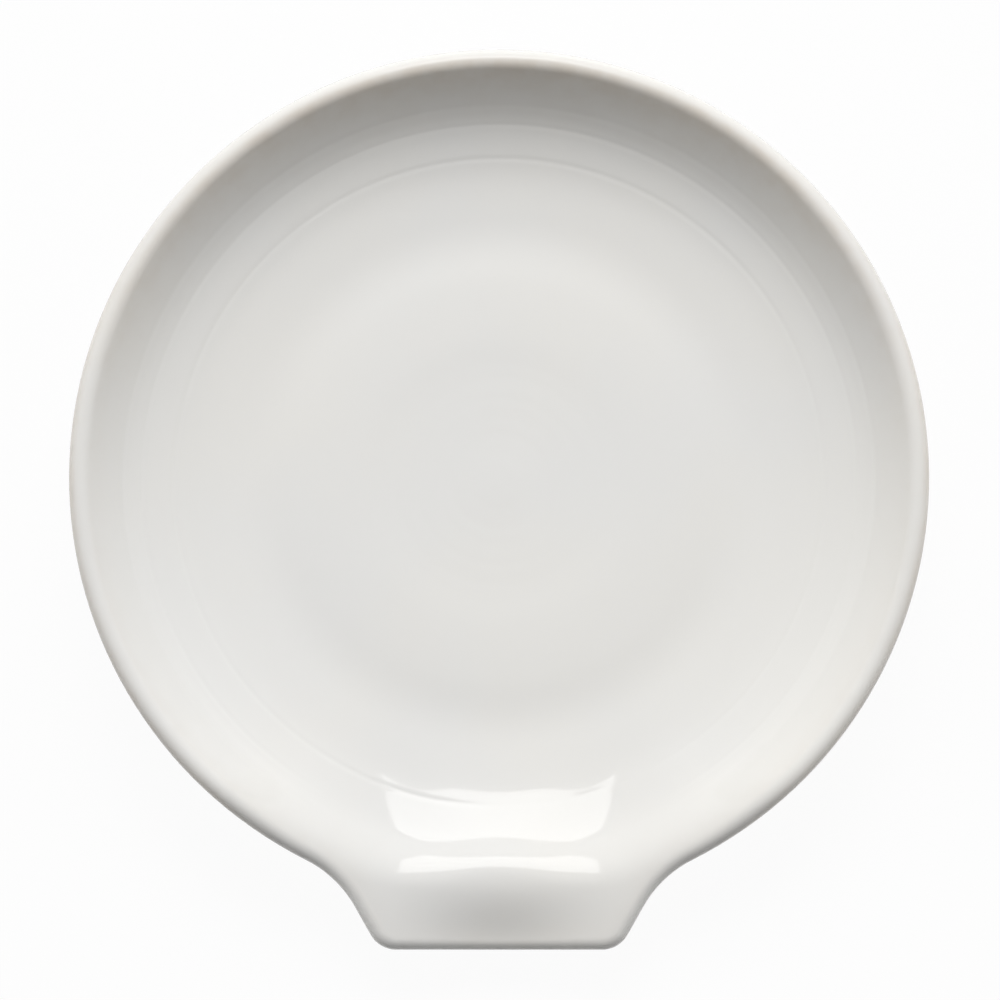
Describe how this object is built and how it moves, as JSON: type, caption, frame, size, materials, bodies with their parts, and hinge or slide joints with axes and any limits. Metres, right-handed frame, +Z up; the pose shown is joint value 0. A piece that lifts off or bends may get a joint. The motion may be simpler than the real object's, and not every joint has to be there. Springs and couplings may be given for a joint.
{
  "type": "spoon rest",
  "caption": "Round stoneware spoon rest: a shallow glazed dish with fine rings, a rolled rim that drops to a lip for the spoon's handle, and a bare foot ring.",
  "frame": {"origin": "centre of the bounding box on the plane the foot ring stands on; the dish's axis is 4.9 mm behind it, towards +Y", "axes": "+Z up, out of the dish; the lip points along -Y; the part is a mirror image of itself across the YZ plane"},
  "size_m": [0.195, 0.2048, 0.027],
  "materials": {
    "clay": "fired stoneware, unglazed and matt where it shows at the foot ring",
    "glaze": "white gloss glaze, warmer where it thins at the rim"
  },
  "bodies": {
    "root": {"stoneware_body": "clay", "glaze_coat": "glaze", "foot_recess_glaze": "glaze"}
  },
  "joints": []
}
